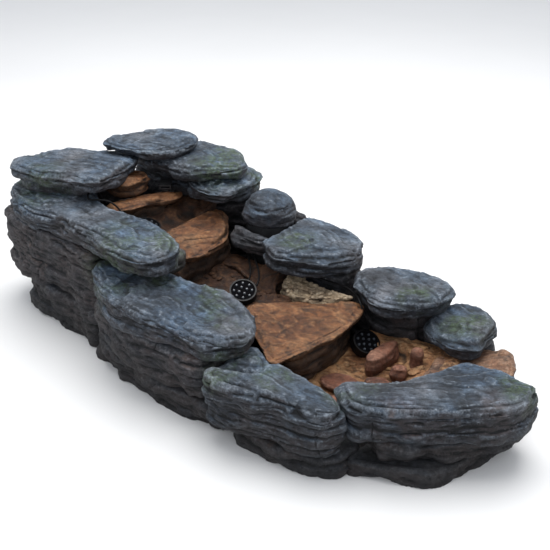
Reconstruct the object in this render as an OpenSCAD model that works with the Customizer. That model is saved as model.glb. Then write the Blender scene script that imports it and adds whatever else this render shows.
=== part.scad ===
// Tiered rock cascade fountain: hollow-cast resin stones around three stepped pools, with a pump,
// a riser hose and three lights. Millimetres. +X runs downstream, +Y is the back, +Z is up,
// and the origin lies on the ground under the middle of the stone ring.

/* [Levels] */
// Top of the rim stone over the spring, the highest stone
crown_z = 358; // [340:1:370]
// Top of the big front stone at the high end
left_rim_z = 275; // [265:1:277]
// Top of the front stone in the middle
centre_rim_z = 200; // [190:1:210]
// Top of the front stone beside the lowest pool
right_rim_z = 145; // [130:1:150]
// Water lip of the top ledge
top_lip_z = 256; // [252:1:260]
// Water lip of the middle ledge
middle_lip_z = 196; // [190:1:200]
// Water lip of the lower ledge
lower_lip_z = 142; // [138:1:145]

/* [Castings] */
// Wall of a hollow-cast block
wall_t = 9; // [7:1:12]
// Rounding of a stone's top and bottom edges
edge_r = 6; // [3:1:8]
// Unevenness of a stone's sides
rough = 3; // [0:0.5:4]
// Joint between neighbouring stones, filled with bonding resin
joint_gap = 2; // [1:0.5:4]
// Thickness of the moulded pools and the tray
shell_t = 5; // [4:0.5:7]

/* [Pump] */
// Length of the pump body
pump_l = 60; // [52:1:62]
// Width of the pump body
pump_w = 40; // [34:1:42]
// Height of the pump body
pump_h = 50; // [45:1:58]
// Outside diameter of the riser hose
hose_d = 20; // [18:1:22]
// Bore of the riser hose
hose_bore = 14; // [12:1:15]

/* [Lights] */
// Diameter of a light
light_d = 56; // [50:1:60]
// Depth of a light
light_h = 20; // [16:1:24]
// Diameter of a light's lead
lead_d = 4; // [3:0.5:4]
// Lamps on the outer ring of a light
lamps_outer = 8; // [6:1:9]

/* [Hidden] */
$fn = 48;
PER_SPAN = 2; // points on the smooth line between two outline points
SPIN = 137; // spreads the random seeds

gap = joint_gap;

// Levels of the front stones
base_left_z = 88;
left_rim_t = 53;
left_shim_z = left_rim_z + 24;
left_cap_z = crown_z - 28;
base_centre_z = 52;
centre_rim_t = 58;
base_right_z = 40;
end_low_z = 32;
end_mid_z = 73;
end_rim_z = right_rim_z + 3;
apron_z = 102;

// Levels of the back stones
back_mid_z = 248;
slab_low_z = crown_z - 64;
slab_mid_z = crown_z - 32;
crown_t = 26;
well_top_z = 222;
slot_z = 177;
centre_back_z = centre_rim_z - 27;
right_back_z = right_rim_z - 7;
end_back_z = 98;

// Levels of the stream
spring_z = crown_z - 60;
ledge_t = 18;
top_pool_z = [185, 214];
middle_pool_z = [100, 136];
pool_edge_z = [62, 139];
tray_z = [6, 48];

// The sump that the pump stands in
well_x = -84;
well_y = 182;
well_r = 46;
well_floor_z = 14;
well_sides = 8;
weld = 0.1; // weld line between two panels
tray_floor_z = tray_z[0] + shell_t;
hose_exit_z = 147;
gland_r = 7;

// ---- Stone outlines in plan, anticlockwise or not, each point on the stone's edge ----
LEFT_CAP = [[-585, -70], [-560, -122], [-465, -112], [-405, -85], [-345, -72], [-352, 15], [-388, 88],
    [-430, 112], [-515, 30]];
LEFT_SHIM = [[-545, -60], [-530, -100], [-440, -78], [-400, -52], [-412, -10], [-438, 10], [-444, 66],
    [-500, 20]];
LEFT_RIM = [[-600, -95], [-560, -135], [-460, -165], [-360, -158], [-250, -170], [-150, -192], [-90, -175],
    [-78, -125], [-110, -85], [-160, -62], [-230, -45], [-320, -60], [-395, -35], [-440, 0], [-520, 25],
    [-580, -35]];
LEFT_BLOCK = [[-606, -108], [-556, -138], [-460, -160], [-360, -160], [-268, -172], [-264, -70],
    [-390, -46], [-434, 4], [-490, 46], [-560, 30], [-598, -35]];
LEFT_BASE = [[-552, -92], [-506, -136], [-410, -154], [-320, -160], [-266, -174], [-263, -70], [-390, -46],
    [-434, 4], [-475, 42], [-530, 20]];
CENTRE_RIM = [[-250, -165], [-222, -205], [-130, -245], [-40, -250], [60, -238], [125, -212], [142, -155],
    [100, -105], [35, -86], [-40, -100], [-125, -96], [-205, -120]];
CENTRE_BLOCK = [[-240, -176], [-185, -212], [-80, -236], [20, -240], [88, -236], [92, -128], [30, -110],
    [-60, -118], [-150, -112], [-236, -122]];
CENTRE_BASE = [[-240, -186], [-185, -212], [-90, -228], [20, -234], [84, -234], [134, -223], [132, -138],
    [60, -125], [-60, -128], [-150, -125], [-238, -124]];
FILLER = [[114, -222], [150, -214], [182, -205], [190, -168], [155, -134], [112, -134]];
RIGHT_RIM = [[185, -266], [252, -250], [310, -241], [352, -228], [372, -190], [335, -166], [275, -158],
    [216, -158], [194, -170], [190, -212], [122, -238], [128, -266]];
RIGHT_BASE = [[156, -228], [210, -238], [290, -232], [352, -214], [368, -188], [350, -140], [270, -140],
    [158, -140]];
END_RIM = [[326, -148], [372, -176], [420, -166], [490, -116], [560, -60], [600, 0], [602, 58], [560, 72],
    [500, 66], [462, 52], [440, 5], [400, -76], [350, -112], [330, -128]];
END_MIDDLE = [[384, -132], [410, -152], [430, -158], [495, -108], [548, -50], [584, 10], [580, 60], [520, 50],
    [470, 20], [440, -50], [400, -100]];
END_BASE = [[376, -182], [400, -176], [435, -162], [500, -128], [534, -68], [556, 0], [556, 66], [520, 66],
    [470, 20], [440, -50], [400, -110], [376, -150]];
APRON = [[400, 8], [440, 66], [490, 80], [532, 84], [526, 122], [508, 158], [490, 184], [468, 190],
    [458, 150], [430, 100], [396, 60]];
BACK_TOP = [[-475, 100], [-455, 58], [-375, 60], [-320, 84], [-296, 155], [-325, 214], [-385, 216],
    [-440, 182]];
BACK_MIDDLE = [[-455, 128], [-400, 118], [-330, 104], [-245, 106], [-160, 172], [-192, 236], [-248, 272],
    [-330, 260], [-420, 214]];
BACK_LOWER = [[-455, 150], [-405, 130], [-335, 140], [-292, 144], [-250, 120], [-210, 106], [-165, 112],
    [-152, 128], [-150, 190], [-164, 236], [-200, 264], [-300, 266], [-420, 216]];
BACK_BLOCK_LEFT = [[-500, 72], [-428, 28], [-402, 112], [-290, 170], [-180, 258], [-300, 271],
    [-410, 234], [-490, 160]];
SUMP_BACK = [[-158, 248], [-36, 248], [-38, 260], [-60, 268], [-140, 270], [-158, 266]];
BOULDER = [[-140, 182], [-126, 140], [-85, 124], [-45, 138], [-26, 176], [-36, 220], [-78, 240], [-122, 228]];
SLOT_STONE = [[-138, 124], [-112, 106], [-70, 98], [-38, 104], [-34, 120], [-66, 125], [-100, 126],
    [-126, 134]];
CENTRE_BACK_CAP = [[-32, 98], [20, 64], [105, 98], [150, 160], [132, 218], [64, 252], [0, 260], [-28, 240],
    [-24, 200], [-24, 165]];
CENTRE_BACK_BLOCK = [[-10, 144], [50, 143], [122, 146], [134, 200], [100, 238], [30, 252], [-10, 252]];
RIGHT_BACK_CAP = [[164, 148], [232, 94], [290, 106], [342, 160], [348, 226], [298, 248], [220, 232],
    [172, 206]];
RIGHT_BACK_BLOCK = [[154, 168], [230, 136], [300, 150], [312, 200], [300, 238], [240, 250], [150, 250],
    [146, 210]];
END_BACK_CAP = [[322, 186], [334, 138], [388, 112], [444, 118], [454, 150], [450, 210], [424, 242],
    [378, 262], [345, 248]];
END_BACK_BLOCK = [[332, 238], [330, 200], [332, 160], [384, 164], [430, 186], [444, 208], [424, 244],
    [390, 256]];

SPRING_ROCK = [[-428, 20], [-385, 2], [-348, 10], [-334, 50], [-342, 80], [-385, 92], [-412, 60]];
TOP_LEDGE = [[-366, -34], [-334, -42], [-304, 30], [-280, 96], [-292, 122], [-326, 88], [-356, 30]];
TOP_RISER = [[-376, -34], [-342, -36], [-322, 30], [-306, 92], [-336, 80], [-376, 24]];
INNER_PACKING = [[-246, -64], [-225, -44], [-186, -46], [-140, -38], [-128, -60], [-130, -84], [-200, -104],
    [-240, -94]];
MIDDLE_LEDGE = [[-238, 30], [-212, -8], [-180, -36], [-146, -28], [-128, 40], [-131, 92], [-168, 136],
    [-214, 150]];
MIDDLE_RISER = [[-238, 30], [-240, -40], [-232, -86], [-160, -84], [-158, 0], [-158, 60], [-160, 118],
    [-186, 146], [-234, 146]];
POOL_BACK = [[-144, 78], [-110, 90], [-50, 70], [6, 50], [36, 66], [8, 88], [6, 124], [-24, 126],
    [-50, 118], [-104, 118], [-144, 112]];
GRAVEL_BANK = [[46, 66], [90, 60], [130, 88], [176, 123], [120, 131], [60, 131], [14, 132], [16, 90]];
LOWER_LEDGE = [[26, -42], [108, -100], [150, -130], [192, -152], [212, -60], [222, 40], [206, 100],
    [185, 112], [128, 76], [78, 42]];
LOWER_RISER = [[112, -84], [150, -100], [184, -102], [198, -60], [200, 30], [190, 96], [150, 86], [120, 40],
    [106, -40]];

// Bed of the lowest pool
LOWER_BED = [[214, -92], [318, -104], [362, -56], [364, 70], [330, 106], [250, 112], [216, 102]];

// Stones on the bed of the lower pool: middle, half length, half width, height, turn
BED_Z = tray_z[1];
BED_STONES = [
    [[283, 68], 46, 16, 42, 86],
    [[318, -2], 28, 18, 20, 10],
    [[332, 50], 18, 16, 30, 60],
    [[258, -34], 38, 26, 12, 20],
    [[346, 92], 12, 12, 56, 0],
    [[290, -92], 30, 18, 12, 170]
];

// Ground plan of the reservoir tray, inside the ring of stones
TRAY = [[-150, -86], [-40, -92], [60, -113], [330, -124], [382, -60], [382, 80], [340, 122], [140, 132],
    [-26, 134], [-26, 240], [-142, 240], [-142, 128], [-150, 116]];
// Plan of the middle pool between the middle ledge and the lower ledge
MIDDLE_POOL = [[-138, 40], [-140, -60], [-60, -86], [8, -80], [16, -40], [50, 38], [20, 42], [-50, 63],
    [-110, 84], [-134, 74]];
// Plan of the top pool between the top ledge and the middle ledge
TOP_POOL = [[-308, -36], [-222, -38], [-220, -20], [-248, 26], [-250, 146], [-284, 146], [-294, 100],
    [-313, 34]];

// Lights: middle of the face, tilt from vertical, and the direction it leans
LIGHTS = [
    [[-273, 0, 222], 15, 20],
    [[-22, 14, 140], 25, -50],
    [[236, 86, 80], 30, -20]
];

// Leads, laid by hand from the sump to each light
LEAD_TOP = [[-112, 165, 173], [-127, 155, 176], [-144, 148, 172], [-165, 154, 162], [-200, 160, 140],
    [-250, 158, 110], [-300, 144, 95], [-345, 116, 100], [-386, 70, 130], [-393, 20, 190],
    [-392, -14, 250], [-390, -40, 284], [-380, -66, 286], [-367, -76, 280], [-350, -62, 279],
    [-338, -48, 274], [-326, -38, 262], [-316, -34, 248], [-310, -30, 236], [-307, -20, 227],
    [-306, -10, 224]];
LEAD_MIDDLE_IN = [[-98, 150, 172], [-98, 130, 172], [-92, 116, 166], [-79, 103, 157], [-66, 91, 149],
    [-54, 77, 141], [-44, 62, 141], [-36, 46, 139]];
LEAD_MIDDLE_OUT = [[-86, 150, 172], [-86, 130, 172], [-77, 114, 166], [-60, 103, 157], [-42, 89, 149],
    [-28, 74, 142], [-18, 60, 143], [-12, 46, 140]];
LEAD_LOWER = [[-54, 165, 150], [-40, 156, 150], [-28, 145, 150], [-16, 135, 150], [10, 134.5, 152],
    [100, 135, 152], [150, 135, 152], [184, 122, 150], [202, 106, 150], [212, 100, 142], [218, 100, 128],
    [223, 104, 114], [224, 110, 102], [223, 110, 96]];

// ---- Geometry helpers ----

// Twice the area of a closed loop, positive when it runs anticlockwise
function signed_area(p) = let (n = len(p), s = [for (i = [0 : n - 1]) cross(p[i], p[(i + 1) % n])])
    s * [for (i = s) 1];

function reversed(p) = [for (i = [len(p) - 1 : -1 : 0]) p[i]];

function anticlockwise(p) = signed_area(p) > 0 ? p : reversed(p);

// Point at share t of the way from b to c on a smooth line through a, b, c and d (Catmull-Rom)
function spline_point(a, b, c, d, t) = 0.5 * (2 * b + (c - a) * t + (2 * a - 5 * b + 4 * c - d) * t * t
    + (3 * b - a - 3 * c + d) * t * t * t);

// Smooth closed line through the points
function smooth_loop(pts, per) = let (p = anticlockwise(pts), n = len(p))
    [for (i = [0 : n - 1], k = [0 : per - 1])
        let (a = p[(i + n - 1) % n], b = p[i], c = p[(i + 1) % n], d = p[(i + 2) % n], t = k / per)
        spline_point(a, b, c, d, t)];

// Outward normals of an anticlockwise loop
function normals(p) = let (n = len(p))
    [for (i = [0 : n - 1]) let (t = p[(i + 1) % n] - p[(i + n - 1) % n]) [t.y, -t.x] / norm(t)];

// The loop moved out by d plus an uneven amount, lifted to z with a slope about the middle
function ring(p, nrm, d, uneven, z, slope, mid) =
    [for (i = [0 : len(p) - 1]) let (q = p[i] + nrm[i] * (d + uneven[i]))
        [q.x, q.y, z + slope.x * (q.x - mid.x) + slope.y * (q.y - mid.y)]];

// Index of the sharpest outward corner, a safe place to start the polygon of a top or a bottom
function sharpest(p) = let (n = len(p), turn = [for (i = [0 : PER_SPAN : n - 1])
        cross(unit(p[i] - p[(i + n - 1) % n]), unit(p[(i + 1) % n] - p[i]))])
    PER_SPAN * [for (i = [0 : len(turn) - 1]) if (turn[i] == max(turn)) i][0];

function centre_of(p) = [for (k = [0, 1]) (min([for (q = p) q[k]]) + max([for (q = p) q[k]])) / 2];

// Side faces between ring a and the ring above it, b; each is the index of a ring's first point
function side_faces(n, a, b) = [for (i = [0 : n - 1], h = [0, 1]) let (j = (i + 1) % n)
    h == 0 ? [a + i, b + i, b + j] : [a + i, b + j, a + j]];

function lining_faces(n, a, b) = [for (f = side_faces(n, a, b)) [f[0], f[2], f[1]]];

// Profile of a stone's side: share of the height, and how far in from the outline in edge radii
LAYERED = [[0, 1], [0.14, 0.1], [0.42, 0.5], [0.6, -0.1], [0.86, 0], [1, 1]];
SLAB = [[0, 1.2], [0.3, 0.2], [0.72, -0.1], [1, 1]];
ROUNDED = [[0, 0.6], [0.3, -0.1], [0.55, 0.6], [0.78, 2], [0.93, 4.4], [1, 6.4]];

// A cast stone from z0 to z1, built up from rings that follow the outline. A hollow one is open
// beneath; its lining has one point for each point of the outline.
module stone(outline, z0, z1, seed, profile = LAYERED, slope = [0, 0], hollow = false, edge = edge_r) {
    loop = smooth_loop(outline, PER_SPAN);
    n = len(loop);
    first = sharpest(loop) + n - 1;
    p = [for (i = [0 : n - 1]) loop[(first + i) % n]];
    nrm = normals(p);
    mid = centre_of(p);
    uneven = rough * min(1, edge / edge_r);
    levels = len(profile);
    outer = [for (k = [0 : levels - 1])
        let (u = rands(k == 0 ? 0 : -uneven, k == 0 ? 0 : uneven / 2, n, seed * SPIN + k), f = profile[k][0])
        each ring(p, nrm, -edge * profile[k][1] - joint_gap / 2, u, z0 + (z1 - z0) * f, slope * f, mid)];
    h = hollow ? n / PER_SPAN : 0;
    inner = [for (z = [z0, z1 - wall_t - norm(slope) * 60], k = [0 : 1 : h - 1])
        let (i = PER_SPAN * k + 1, j = (i + 2) % n, u = unit(p[i] - p[(i + n - 2) % n]), v = unit(p[j] - p[i]),
            q = p[i] - nrm[i] * (wall_t + 2 * edge) / max(0.7, norm(u + v) / 2)) [q.x, q.y, z]];
    base = levels * n;
    bottom = hollow
        ? [for (k = [0 : h - 1]) let (i = PER_SPAN * k + 1)
            [i, (i + 1) % n, (i + 2) % n, base + (k + 1) % h, base + k]]
        : [[for (i = [0 : n - 1]) i]];
    lining = hollow ? concat(lining_faces(h, base, base + h),
        [[for (k = [0 : h - 1]) base + h + (k + h - 1) % h]]) : [];
    polyhedron(concat(outer, inner), concat(bottom,
        [for (k = [0 : levels - 2]) each side_faces(n, k * n, (k + 1) * n)],
        [[for (i = [n + 2 : -1 : 3]) base - n + i % n]], lining), convexity = 6);
}

// A dish with the given plan, open at the top, standing on z0
module dish(plan, z0, z1, floor_t = shell_t) {
    p = smooth_loop(plan, 1);
    difference() {
        translate([0, 0, z0]) linear_extrude(z1 - z0) polygon(p);
        translate([0, 0, z0 + floor_t]) linear_extrude(z1 - z0) offset(delta = -shell_t) polygon(p);
    }
}

// Smooth open line through the points
function open_curve(pts, per) = let (n = len(pts)) concat([for (i = [0 : n - 2], k = [0 : per - 1])
    let (a = pts[max(i - 1, 0)], b = pts[i], c = pts[i + 1], d = pts[min(i + 2, n - 1)], t = k / per)
    spline_point(a, b, c, d, t)], [pts[n - 1]]);

function unit(v) = v / norm(v);

// All the points of a tube of diameter d along the curve c
function tube_rings(c, d, sides) = let (n = len(c)) [for (i = [0 : n - 1])
    let (t = unit(c[min(i + 1, n - 1)] - c[max(i - 1, 0)]),
        u = unit(cross(t, abs(t.z) > 0.9 ? [1, 0, 0] : [0, 0, 1])), v = cross(t, u))
    each [for (k = [0 : sides - 1]) c[i] + d / 2 * (cos(360 * k / sides) * u + sin(360 * k / sides) * v)]];

// Solid cord along a route
module cord_along(route, d, per = 2, sides = 8) {
    c = open_curve(route, per);
    last = (len(c) - 1) * sides;
    polyhedron(tube_rings(c, d, sides), concat([[for (k = [0 : sides - 1]) k]],
        [for (i = [0 : len(c) - 2]) each side_faces(sides, i * sides, (i + 1) * sides)],
        [[for (k = [sides - 1 : -1 : 0]) last + k]]), convexity = 6);
}

// Open-ended hose along a route
module hose_along(route, d, bore, per = 2, sides = 12) {
    c = open_curve(route, per);
    m = len(c) * sides;
    last = (len(c) - 1) * sides;
    polyhedron(concat(tube_rings(c, d, sides), tube_rings(c, bore, sides)),
        concat([for (k = [0 : sides - 1]) let (j = (k + 1) % sides) [k, j, m + j, m + k]],
        [for (i = [0 : len(c) - 2]) each side_faces(sides, i * sides, (i + 1) * sides)],
        [for (i = [0 : len(c) - 2]) each lining_faces(sides, m + i * sides, m + (i + 1) * sides)],
        [for (k = [0 : sides - 1]) let (j = (k + 1) % sides)
            [last + k, m + last + k, m + last + j, last + j]]), convexity = 6);
}

// ---- Colours ----
SLATE = [0.36, 0.38, 0.40];
SLATE_DARK = [0.25, 0.27, 0.29];
SLATE_BROWN = [0.37, 0.33, 0.29];
MOSSY = [0.35, 0.37, 0.29];
OCHRE = [0.55, 0.38, 0.22];
BED_BROWN = [0.36, 0.27, 0.19];
RED_STONE = [0.45, 0.25, 0.20];
GRAVEL = [0.60, 0.52, 0.40];
BLACK = [0.06, 0.06, 0.07];
RUBBER = [0.10, 0.10, 0.11];
LAMP_WHITE = [0.95, 0.95, 0.90];

// ---- Front wall ----
module left_base_block() color(SLATE_BROWN) stone(LEFT_BASE, 0, base_left_z, 11, hollow = true);

module left_wall_block() color(SLATE)
    stone(LEFT_BLOCK, base_left_z + gap, left_rim_z - left_rim_t - gap, 12, hollow = true);

module left_rim_stone() color(SLATE) stone(LEFT_RIM, left_rim_z - left_rim_t, left_rim_z, 13);

module left_packing_stone() color(SLATE_DARK) stone(LEFT_SHIM, left_rim_z + gap, left_shim_z, 14, SLAB);

module left_cap_stone() color(MOSSY) stone(LEFT_CAP, left_shim_z + gap, left_cap_z, 15);

module centre_base_block() color(SLATE_BROWN) stone(CENTRE_BASE, 0, base_centre_z, 21, hollow = true);

module centre_wall_block() color(SLATE)
    stone(CENTRE_BLOCK, base_centre_z + gap, centre_rim_z - centre_rim_t - gap, 22, hollow = true);

module centre_rim_stone() color(SLATE)
    stone(CENTRE_RIM, centre_rim_z - centre_rim_t, centre_rim_z, 23, LAYERED, [-0.08, 0.02]);

module filler_stone() color(SLATE_DARK) stone(FILLER, base_centre_z + gap, lower_lip_z - gap, 24);

module right_base_block() color(SLATE_BROWN) stone(RIGHT_BASE, 0, base_right_z, 31, hollow = true);

module right_rim_stone() color(SLATE)
    stone(RIGHT_RIM, base_right_z + gap, right_rim_z, 32, LAYERED, [-0.03, 0]);

// ---- Right-hand end ----
module end_base_stone() color(SLATE_BROWN) stone(END_BASE, 0, end_low_z, 41, SLAB);

module end_middle_stone() color(SLATE_DARK) stone(END_MIDDLE, end_low_z + gap, end_mid_z, 42, SLAB);

module end_rim_stone() color(MOSSY) stone(END_RIM, end_mid_z + gap, end_rim_z, 43);

module end_apron() color(SLATE) stone(APRON, 0, apron_z, 44, LAYERED, [0, 0.2]);

// ---- Back wall ----
module back_left_block() color(SLATE) stone(BACK_BLOCK_LEFT, 0, back_mid_z, 51, hollow = true);

module back_lower_slab() color(SLATE_DARK) stone(BACK_LOWER, back_mid_z + gap, slab_low_z, 52);

module back_middle_slab() color(SLATE)
    stone(BACK_MIDDLE, slab_low_z + gap, slab_mid_z, 53, SLAB, [0.02, 0.03]);

module back_top_slab() color(MOSSY) stone(BACK_TOP, crown_z - crown_t, crown_z, 54, SLAB);

module sump_back_stone() color(SLATE) difference() {
    stone(SUMP_BACK, 0, well_top_z - gap, 55, edge = 3);
    gland_axis() cylinder(h = 80, r = gland_r + 0.3, center = true);
}

module back_centre_block() color(SLATE)
    stone(CENTRE_BACK_BLOCK, 0, centre_back_z, 56, hollow = true);

module back_centre_cap() color(MOSSY) stone(CENTRE_BACK_CAP, centre_back_z + gap, centre_rim_z + 24, 57);

module slot_stone() color(SLATE_DARK) stone(SLOT_STONE, slot_z, well_top_z - 3, 58, SLAB, edge = 2);

module back_right_block() color(SLATE)
    stone(RIGHT_BACK_BLOCK, 0, right_back_z, 59, hollow = true);

module back_right_cap() color(SLATE) stone(RIGHT_BACK_CAP, right_back_z + gap, right_rim_z + 35, 60);

module back_end_block() color(SLATE_BROWN) stone(END_BACK_BLOCK, 0, end_back_z, 61);

module back_end_cap() color(SLATE) stone(END_BACK_CAP, end_back_z + gap, right_back_z, 62, SLAB, [0.08, 0.04]);

// ---- The stream ----
module spring_rock() color(OCHRE) stone(SPRING_ROCK, top_lip_z + gap, spring_z, 71);

module top_ledge() color(OCHRE) stone(TOP_LEDGE, top_lip_z - ledge_t, top_lip_z, 72, SLAB);

module top_riser() color(OCHRE) stone(TOP_RISER, 0, top_lip_z - ledge_t - gap, 73);

module inner_packing_stone() color(SLATE_DARK)
    stone(INNER_PACKING, middle_lip_z - ledge_t, left_rim_z - left_rim_t - gap, 74);

module middle_ledge() color(OCHRE)
    stone(MIDDLE_LEDGE, middle_lip_z - ledge_t, middle_lip_z + 14, 75, SLAB, [-0.14, 0.12]);

module middle_riser() color(OCHRE)
    stone(MIDDLE_RISER, 0, middle_lip_z - ledge_t - gap, 76, hollow = true);

module pool_back_stone() color(SLATE_DARK)
    stone(POOL_BACK, pool_edge_z[0], pool_edge_z[1], 77, LAYERED, [0, 0.7]);

module gravel_bank() color(GRAVEL)
    stone(GRAVEL_BANK, pool_edge_z[0], pool_edge_z[1] + 1, 78, SLAB, [0, 0.12]);

module lower_ledge() color(OCHRE) stone(LOWER_LEDGE, lower_lip_z - ledge_t, lower_lip_z, 79, SLAB);

module lower_riser() color(OCHRE)
    stone(LOWER_RISER, tray_floor_z + gap, lower_lip_z - ledge_t - gap, 80, hollow = true);

module bed_stones() color(RED_STONE) for (i = [0 : len(BED_STONES) - 1]) {
    b = BED_STONES[i];
    turned = [for (a = [0 : 45 : 315]) let (x = b[1] * cos(a), y = b[2] * sin(a))
        b[0] + [x * cos(b[4]) - y * sin(b[4]), x * sin(b[4]) + y * cos(b[4])]];
    stone(turned, BED_Z, BED_Z + b[3], 90 + i, SLAB, edge = 3);
}

// ---- Moulded pools and the reservoir ----
module top_pool() color(BED_BROWN) dish(TOP_POOL, top_pool_z[0], top_pool_z[1]);

module middle_pool() color(BED_BROWN) dish(MIDDLE_POOL, middle_pool_z[0], middle_pool_z[1]);

module lower_pool_bed() color(BED_BROWN) stone(LOWER_BED, tray_floor_z + gap, BED_Z - gap, 95);

module reservoir_tray() color(BLACK) dish(TRAY, tray_z[0], tray_z[1]);

// Plan of one of the sump's panels, facing +X
module panel_plan() {
    inner = well_r * tan(180 / well_sides) - weld / 2;
    outer = (well_r + shell_t) * tan(180 / well_sides) - weld / 2;
    polygon([[well_r, -inner], [well_r + shell_t, -outer], [well_r + shell_t, outer], [well_r, inner]]);
}

// Eight-sided sump for the pump, of panels welded to a floor: open mouth under the boulder, slots for
// the water, and holes for the hose and the leads
module pump_sump() color(BLACK) difference() {
    translate([well_x, well_y, well_floor_z]) {
        rotate([0, 0, 180 / well_sides]) cylinder(h = shell_t - weld,
            r = (well_r + shell_t) / cos(180 / well_sides), $fn = well_sides);
        for (k = [0 : well_sides - 1]) rotate([0, 0, k * 360 / well_sides]) translate([0, 0, shell_t])
            linear_extrude(well_top_z - well_floor_z - shell_t) panel_plan();
    }
    for (a = [-75 : 30 : 75]) translate([well_x, well_y, 26]) rotate([0, 0, a - 90])
        translate([well_r - 4, -4, 0]) cube([20, 8, 26]);
    translate([well_x, well_y, hose_exit_z]) rotate([0, -90, 8]) cylinder(h = well_r + 20, d = hose_d + 4);
    translate([-103, 118, 166]) cube([26, 30, 10]);
    translate([well_x, well_y, 150]) rotate([0, 90, -30]) cylinder(h = well_r + 20, d = 9);
    translate([well_x, well_y, 176]) rotate([0, 90, 212]) cylinder(h = well_r + 20, d = 9);
    gland_axis() cylinder(h = 90, r = gland_r + 0.3, center = true);
}

// ---- Access boulder over the sump ----
module access_boulder() color(MOSSY) stone(BOULDER, well_top_z + 0.5, crown_z - 74, 63, ROUNDED);

module access_spigot() color(BLACK) translate([well_x, well_y, well_top_z - 17]) difference() {
    cylinder(h = 17.4, r = well_r - 1, $fn = 64);
    translate([0, 0, -1]) cylinder(h = 30, r = well_r - 5, $fn = 64);
}

// ---- Pump, standing in the sump with its intake towards +X ----
module at_pump() translate([well_x, well_y, well_floor_z + shell_t]) children();

// Axis of the power lead's gland, from the sump out through the back stone
module gland_axis() translate([well_x, 262, 150]) rotate([-90, 0, 0]) children();

module along_x() rotate([0, 90, 0]) children();

pump_z = 6;
cover_l = 14;
body_l = pump_l - cover_l - 1;
axle_z = pump_z + pump_h / 2;
chamber_r = 15;
axle_r = 1.5;
dial_stem_r = 2.5;
running = 0.05;

module rounded_block(l, w, h, r) hull() for (x = [r, l - r], y = [r - w / 2, w / 2 - r])
    translate([x, y, 0]) cylinder(h = h, r = r);

module pump_body() color(BLACK) at_pump() translate([-pump_l / 2, 0, 0]) {
    difference() {
        union() {
            translate([0, 0, pump_z]) rounded_block(body_l, pump_w, pump_h, 6);
            translate([pump_l / 2, 0, pump_z + pump_h - 1]) cylinder(h = 21, r = hose_bore / 2 - 0.4);
            translate([pump_l / 2, 0, pump_z + pump_h - 1]) cylinder(h = 5, r = 11);
            for (x = [10, body_l - 10], y = [-12, 12]) translate([x, y, 0.2]) cylinder(h = pump_z, r = 5);
        }
        translate([body_l - 16, 0, axle_z]) along_x() cylinder(h = 30, r = chamber_r);
        translate([pump_l / 2, 0, axle_z + 4]) cylinder(h = 90, r = 4.5);
    }
    translate([body_l - 20, 0, axle_z]) along_x() cylinder(h = 18, r = axle_r);
}

module pump_impeller() color(LAMP_WHITE) at_pump() translate([-pump_l / 2 + body_l - 14, 0, axle_z])
    along_x() difference() {
        union() {
            cylinder(h = 10, r = 4);
            for (a = [0 : 60 : 300]) rotate([0, 0, a]) translate([0, -0.75, 1]) cube([12.5, 1.5, 8]);
        }
        translate([0, 0, -1]) cylinder(h = 20, r = axle_r + running);
    }

module pump_intake_cover() color(RUBBER) at_pump() translate([pump_l / 2 - cover_l, 0, pump_z])
    difference() {
        translate([0, -pump_w / 2, 0.5]) cube([cover_l, pump_w, pump_h - 1]);
        translate([-1, 3 - pump_w / 2, 3.5]) cube([cover_l - 2, pump_w - 6, pump_h - 7]);
        for (y = [-12 : 6 : 12]) translate([cover_l - 5, y - 1.5, 6]) cube([10, 3, 24]);
        translate([cover_l - 5, 0, pump_h - 13]) along_x() cylinder(h = 10, r = dial_stem_r + running);
    }

module pump_flow_dial() color(LAMP_WHITE)
    at_pump() translate([pump_l / 2 + 0.4, 0, pump_z + pump_h - 13]) along_x() {
        cylinder(h = 2.6, r = 8);
        translate([0, 0, -5]) cylinder(h = 6, r = dial_stem_r);
        translate([-7, -1, 2]) cube([14, 2, 1.6]);
    }

// ---- Hose, its clamps and the spout ----
SPOUT = [-330, 118];
HOSE = [[well_x, well_y, 80], [well_x, well_y, 90], [well_x, well_y, 100], [-88, 182, 120],
    [-104, 180, 136], [-135, 175, 147], [-170, 173, 151], [-200, 172, 155], [-240, 168, 161],
    [-280, 157, 170], [-310, 138, 184], [-326, 123, 206], [SPOUT.x, SPOUT.y, 226],
    [SPOUT.x, SPOUT.y, 238], [SPOUT.x, SPOUT.y, 252]];

module riser_hose() color(RUBBER) hose_along(HOSE, hose_d, hose_bore);

module clamp(at, z) translate([at.x, at.y, z]) {
    difference() {
        cylinder(h = 8, r = hose_d / 2 + 2.2);
        translate([0, 0, -1]) cylinder(h = 10, r = hose_d / 2 + 0.2);
    }
    translate([hose_d / 2 + 2, -4, 1]) cube([7, 8, 6]);
}

module hose_clamps() color(LAMP_WHITE) {
    clamp([well_x, well_y], 83);
    clamp(SPOUT, 243.8);
}

// Flat nozzle that spreads the spring over the top ledge
module spring_spout() color(BLACK) translate([SPOUT.x, SPOUT.y, 236]) difference() {
    union() {
        translate([0, 0, 7]) cylinder(h = 11, r = hose_bore / 2 - 0.4);
        translate([0, 0, 16.5]) cylinder(h = 11, r = 11);
        translate([0, 0, 26]) rotate([0, 0, -50]) translate([-10, -13, 0]) cube([42, 26, 10]);
    }
    translate([0, 0, -1]) cylinder(h = 31, r = 4.5);
    translate([0, 0, 26]) rotate([0, 0, -50]) translate([-6, -10, 3]) cube([60, 20, 4]);
}

// ---- Lights ----
module at_lights() for (g = LIGHTS) translate(g[0]) rotate([0, 0, g[2]]) rotate([0, g[1], 0]) children();

module light_housings() color(BLACK) at_lights() translate([0, 0, -light_h]) difference() {
    cylinder(h = light_h, d = light_d);
    translate([0, 0, light_h - 5]) cylinder(h = 10, d = light_d - 6);
}

module light_faces() color(RUBBER) at_lights()
    translate([0, 0, -4.8]) cylinder(h = 3, d = light_d - 6.4);

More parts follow.
